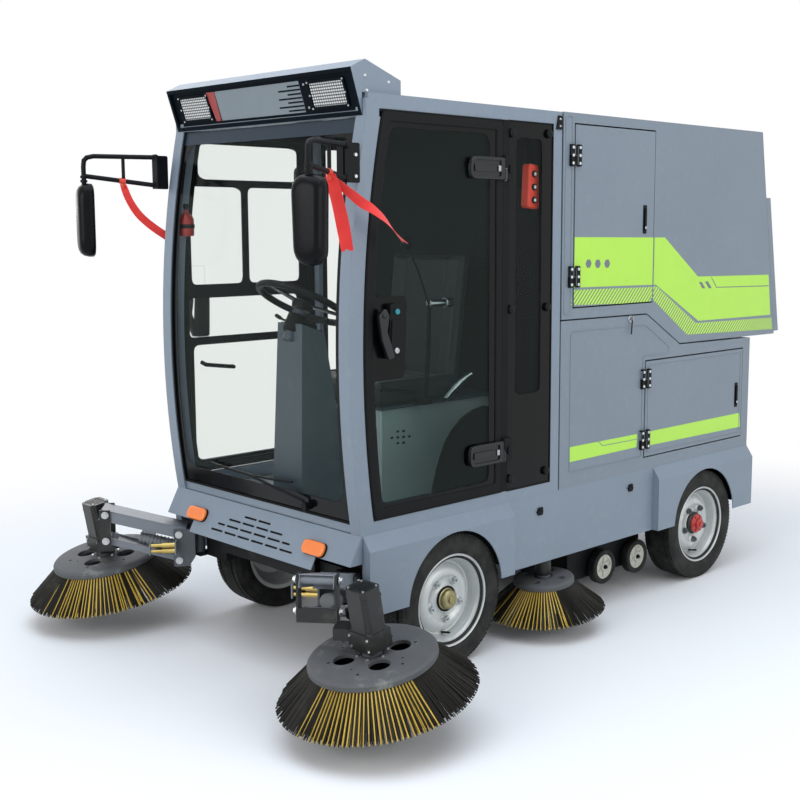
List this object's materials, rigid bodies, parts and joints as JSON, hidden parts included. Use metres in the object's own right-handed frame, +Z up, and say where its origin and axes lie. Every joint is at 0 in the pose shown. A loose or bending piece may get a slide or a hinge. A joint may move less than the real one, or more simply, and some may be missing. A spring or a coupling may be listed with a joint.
{
  "type": "compact road sweeper",
  "caption": "Small ride-on street sweeper with a glazed cab, tipping hopper, disc brushes on lifting arms in front and brushes under the middle.",
  "frame": {"origin": "on the ground, at the middle of the machine's outline", "axes": "+Z up, -Y the way the machine drives forwards, +X the driver's left"},
  "size_m": [2.46, 3.3702, 2.286],
  "materials": {
    "body_paint": "satin paint",
    "bin_paint": "satin paint",
    "frame_paint": "satin black paint",
    "arm_paint": "satin paint",
    "rim_paint": "silver paint",
    "motor_paint": "semi-gloss paint",
    "tyre_rubber": "moulded rubber",
    "glazing": "clear",
    "lamp_lens": "clear lens",
    "amber_lens": "moulded",
    "red_lens": "moulded",
    "black_plastic": "moulded",
    "seat_cover": "grained vinyl",
    "bristle": "filaments",
    "steel": "machined",
    "battery_case": "moulded",
    "red_cloth": "woven"
  },
  "bodies": {
    "chassis": {"chassis_frame": "frame_paint", "front_axle": "frame_paint", "tail_lamps": "red_lens", "rear_axle": "frame_paint", "side_shell": "body_paint", "front_panel": "body_paint", "cab_frame": "body_paint", "cab_floor": "frame_paint", "cab_glass": "glazing", "lamp_box": "body_paint", "head_lamps": "lamp_lens", "marker_lamps": "amber_lens", "steering_pod": "black_plastic", "seat_base": "black_plastic", "seat_pads": "seat_cover", "mirror_arms": "frame_paint", "mirror_heads": "black_plastic", "cabinet": "bin_paint", "battery": "battery_case", "mid_brush_mounts": "motor_paint", "roller_box": "frame_paint", "ribbons": "red_cloth"},
    "steering_wheel": {"steering_wheel": "black_plastic"},
    "bin": {"bin_shell": "bin_paint"},
    "tailgate": {"tailgate": "bin_paint"},
    "main_roller": {"main_roller": "bristle"},
    "knuckle_left": {"knuckle_left": "frame_paint"},
    "wheel_front_left": {"tyre_front_left": "tyre_rubber", "rim_front_left": "rim_paint"},
    "wheel_rear_left": {"tyre_rear_left": "tyre_rubber", "rim_rear_left": "rim_paint"},
    "cab_door_left": {"door_frame_left": "body_paint", "door_glass_left": "glazing"},
    "low_door_left": {"low_door_left": "bin_paint"},
    "up_door_left": {"up_door_left": "bin_paint"},
    "arm_bracket_left": {"arm_bracket_left": "arm_paint"},
    "upper_arm_left": {"upper_arm_left": "arm_paint"},
    "lower_link_left": {"lower_link_left": "arm_paint"},
    "brush_carrier_left": {"brush_carrier_left": "motor_paint"},
    "front_brush_left": {"front_brush_left": "bristle"},
    "mid_brush_left": {"mid_brush_left": "bristle"},
    "carry_wheel_fore_left": {"carry_wheel_fore_left": "tyre_rubber"},
    "carry_wheel_aft_left": {"carry_wheel_aft_left": "tyre_rubber"},
    "knuckle_right": {"knuckle_right": "frame_paint"},
    "wheel_front_right": {"tyre_front_right": "tyre_rubber", "rim_front_right": "rim_paint"},
    "wheel_rear_right": {"tyre_rear_right": "tyre_rubber", "rim_rear_right": "rim_paint"},
    "cab_door_right": {"door_frame_right": "body_paint", "door_glass_right": "glazing"},
    "low_door_right": {"low_door_right": "bin_paint"},
    "up_door_right": {"up_door_right": "bin_paint"},
    "arm_bracket_right": {"arm_bracket_right": "arm_paint"},
    "upper_arm_right": {"upper_arm_right": "arm_paint"},
    "lower_link_right": {"lower_link_right": "arm_paint"},
    "brush_carrier_right": {"brush_carrier_right": "motor_paint"},
    "front_brush_right": {"front_brush_right": "bristle"},
    "mid_brush_right": {"mid_brush_right": "bristle"},
    "carry_wheel_fore_right": {"carry_wheel_fore_right": "tyre_rubber"},
    "carry_wheel_aft_right": {"carry_wheel_aft_right": "tyre_rubber"}
  },
  "joints": [
    {"name": "steer_left", "type": "hinge", "parent": "chassis", "child": "knuckle_left", "pos_m": [0.5, -0.716, 0.266], "axis": [0, 0, 1], "range_deg": [-26, 26]},
    {"name": "wheel_front_left_spin", "type": "hinge", "parent": "knuckle_left", "child": "wheel_front_left", "pos_m": [0.541, -0.716, 0.266], "axis": [1, 0, 0], "continuous": true},
    {"name": "wheel_rear_left_spin", "type": "hinge", "parent": "chassis", "child": "wheel_rear_left", "pos_m": [0.541, 0.994, 0.266], "axis": [1, 0, 0], "continuous": true},
    {"name": "cab_door_left_hinge", "type": "hinge", "parent": "chassis", "child": "cab_door_left", "pos_m": [0.609, -0.424, 1.376], "axis": [0, 0, 1], "range_deg": [0, 80]},
    {"name": "up_door_left_hinge", "type": "hinge", "parent": "bin", "child": "up_door_left", "pos_m": [0.609, 0.005, 1.751], "axis": [0, 0, -1], "range_deg": [0, 105]},
    {"name": "low_door_left_hinge", "type": "hinge", "parent": "chassis", "child": "low_door_left", "pos_m": [0.609, 0.527, 0.884], "axis": [0, 0, -1], "range_deg": [0, 105]},
    {"name": "arm_left_swing", "type": "hinge", "parent": "chassis", "child": "arm_bracket_left", "pos_m": [0.478, -1.148, 0.386], "axis": [0, 0, 1], "range_deg": [-15, 8]},
    {"name": "arm_left_lift", "type": "hinge", "parent": "arm_bracket_left", "child": "upper_arm_left", "pos_m": [0.52, -1.216, 0.432], "axis": [0.7926, 0.6097, 0], "range_deg": [0, 15.5]},
    {"name": "arm_left_link", "type": "hinge", "parent": "arm_bracket_left", "child": "lower_link_left", "pos_m": [0.52, -1.216, 0.322], "axis": [0.7926, 0.6097, 0], "range_deg": [0, 15.5]},
    {"name": "arm_left_level", "type": "hinge", "parent": "upper_arm_left", "child": "brush_carrier_left", "pos_m": [0.7, -1.45, 0.525], "axis": [0.7926, 0.6097, 0], "range_deg": [-15.5, 0]},
    {"name": "front_brush_left_spin", "type": "hinge", "parent": "brush_carrier_left", "child": "front_brush_left", "pos_m": [0.881, -1.367, 0.294], "axis": [0, -0.1736, 0.9848], "continuous": true},
    {"name": "mid_brush_left_spin", "type": "hinge", "parent": "chassis", "child": "mid_brush_left", "pos_m": [0.56, -0.116, 0.228], "axis": [0, -0.0872, 0.9962], "continuous": true},
    {"name": "carry_wheel_fore_left_spin", "type": "hinge", "parent": "chassis", "child": "carry_wheel_fore_left", "pos_m": [0.484, 0.382, 0.154], "axis": [1, 0, 0], "continuous": true},
    {"name": "carry_wheel_aft_left_spin", "type": "hinge", "parent": "chassis", "child": "carry_wheel_aft_left", "pos_m": [0.484, 0.631, 0.154], "axis": [1, 0, 0], "continuous": true},
    {"name": "steer_right", "type": "hinge", "parent": "chassis", "child": "knuckle_right", "pos_m": [-0.5, -0.716, 0.266], "axis": [0, 0, 1], "range_deg": [-26, 26]},
    {"name": "wheel_front_right_spin", "type": "hinge", "parent": "knuckle_right", "child": "wheel_front_right", "pos_m": [-0.541, -0.716, 0.266], "axis": [1, 0, 0], "continuous": true},
    {"name": "wheel_rear_right_spin", "type": "hinge", "parent": "chassis", "child": "wheel_rear_right", "pos_m": [-0.541, 0.994, 0.266], "axis": [1, 0, 0], "continuous": true},
    {"name": "cab_door_right_hinge", "type": "hinge", "parent": "chassis", "child": "cab_door_right", "pos_m": [-0.609, -0.424, 1.376], "axis": [0, 0, -1], "range_deg": [0, 80]},
    {"name": "up_door_right_hinge", "type": "hinge", "parent": "bin", "child": "up_door_right", "pos_m": [-0.609, 0.005, 1.751], "axis": [0, 0, 1], "range_deg": [0, 105]},
    {"name": "low_door_right_hinge", "type": "hinge", "parent": "chassis", "child": "low_door_right", "pos_m": [-0.609, 0.527, 0.884], "axis": [0, 0, 1], "range_deg": [0, 105]},
    {"name": "arm_right_swing", "type": "hinge", "parent": "chassis", "child": "arm_bracket_right", "pos_m": [-0.478, -1.148, 0.386], "axis": [0, 0, -1], "range_deg": [-15, 8]},
    {"name": "arm_right_lift", "type": "hinge", "parent": "arm_bracket_right", "child": "upper_arm_right", "pos_m": [-0.52, -1.216, 0.432], "axis": [0.7926, -0.6097, 0], "range_deg": [0, 15.5]},
    {"name": "arm_right_link", "type": "hinge", "parent": "arm_bracket_right", "child": "lower_link_right", "pos_m": [-0.52, -1.216, 0.322], "axis": [0.7926, -0.6097, 0], "range_deg": [0, 15.5]},
    {"name": "arm_right_level", "type": "hinge", "parent": "upper_arm_right", "child": "brush_carrier_right", "pos_m": [-0.7, -1.45, 0.525], "axis": [0.7926, -0.6097, 0], "range_deg": [-15.5, 0]},
    {"name": "front_brush_right_spin", "type": "hinge", "parent": "brush_carrier_right", "child": "front_brush_right", "pos_m": [-0.881, -1.367, 0.294], "axis": [0, -0.1736, 0.9848], "continuous": true},
    {"name": "mid_brush_right_spin", "type": "hinge", "parent": "chassis", "child": "mid_brush_right", "pos_m": [-0.56, -0.116, 0.228], "axis": [0, -0.0872, 0.9962], "continuous": true},
    {"name": "carry_wheel_fore_right_spin", "type": "hinge", "parent": "chassis", "child": "carry_wheel_fore_right", "pos_m": [-0.484, 0.382, 0.154], "axis": [1, 0, 0], "continuous": true},
    {"name": "carry_wheel_aft_right_spin", "type": "hinge", "parent": "chassis", "child": "carry_wheel_aft_right", "pos_m": [-0.484, 0.631, 0.154], "axis": [1, 0, 0], "continuous": true},
    {"name": "steering_wheel_turn", "type": "hinge", "parent": "chassis", "child": "steering_wheel", "pos_m": [0, -0.948, 1.405], "axis": [0, 0.4695, 0.8829], "range_deg": [-312, 312]},
    {"name": "bin_tip", "type": "hinge", "parent": "chassis", "child": "bin", "pos_m": [0, 1.446, 1.128], "axis": [-1, 0, 0], "range_deg": [0, 48]},
    {"name": "tailgate_hinge", "type": "hinge", "parent": "bin", "child": "tailgate", "pos_m": [0, 1.546, 1.868], "axis": [1, 0, 0], "range_deg": [0, 75]},
    {"name": "main_roller_spin", "type": "hinge", "parent": "chassis", "child": "main_roller", "pos_m": [0, 0.429, 0.23], "axis": [1, 0, 0], "continuous": true}
  ],
  "couplings": [
    {"joint": "arm_left_link", "follows": "arm_left_lift", "ratio": 1},
    {"joint": "arm_left_level", "follows": "arm_left_lift", "ratio": -1},
    {"joint": "arm_right_link", "follows": "arm_right_lift", "ratio": 1},
    {"joint": "arm_right_level", "follows": "arm_right_lift", "ratio": -1},
    {"joint": "steer_right", "follows": "steer_left", "ratio": 1},
    {"joint": "steering_wheel_turn", "follows": "steer_left", "ratio": 12}
  ]
}
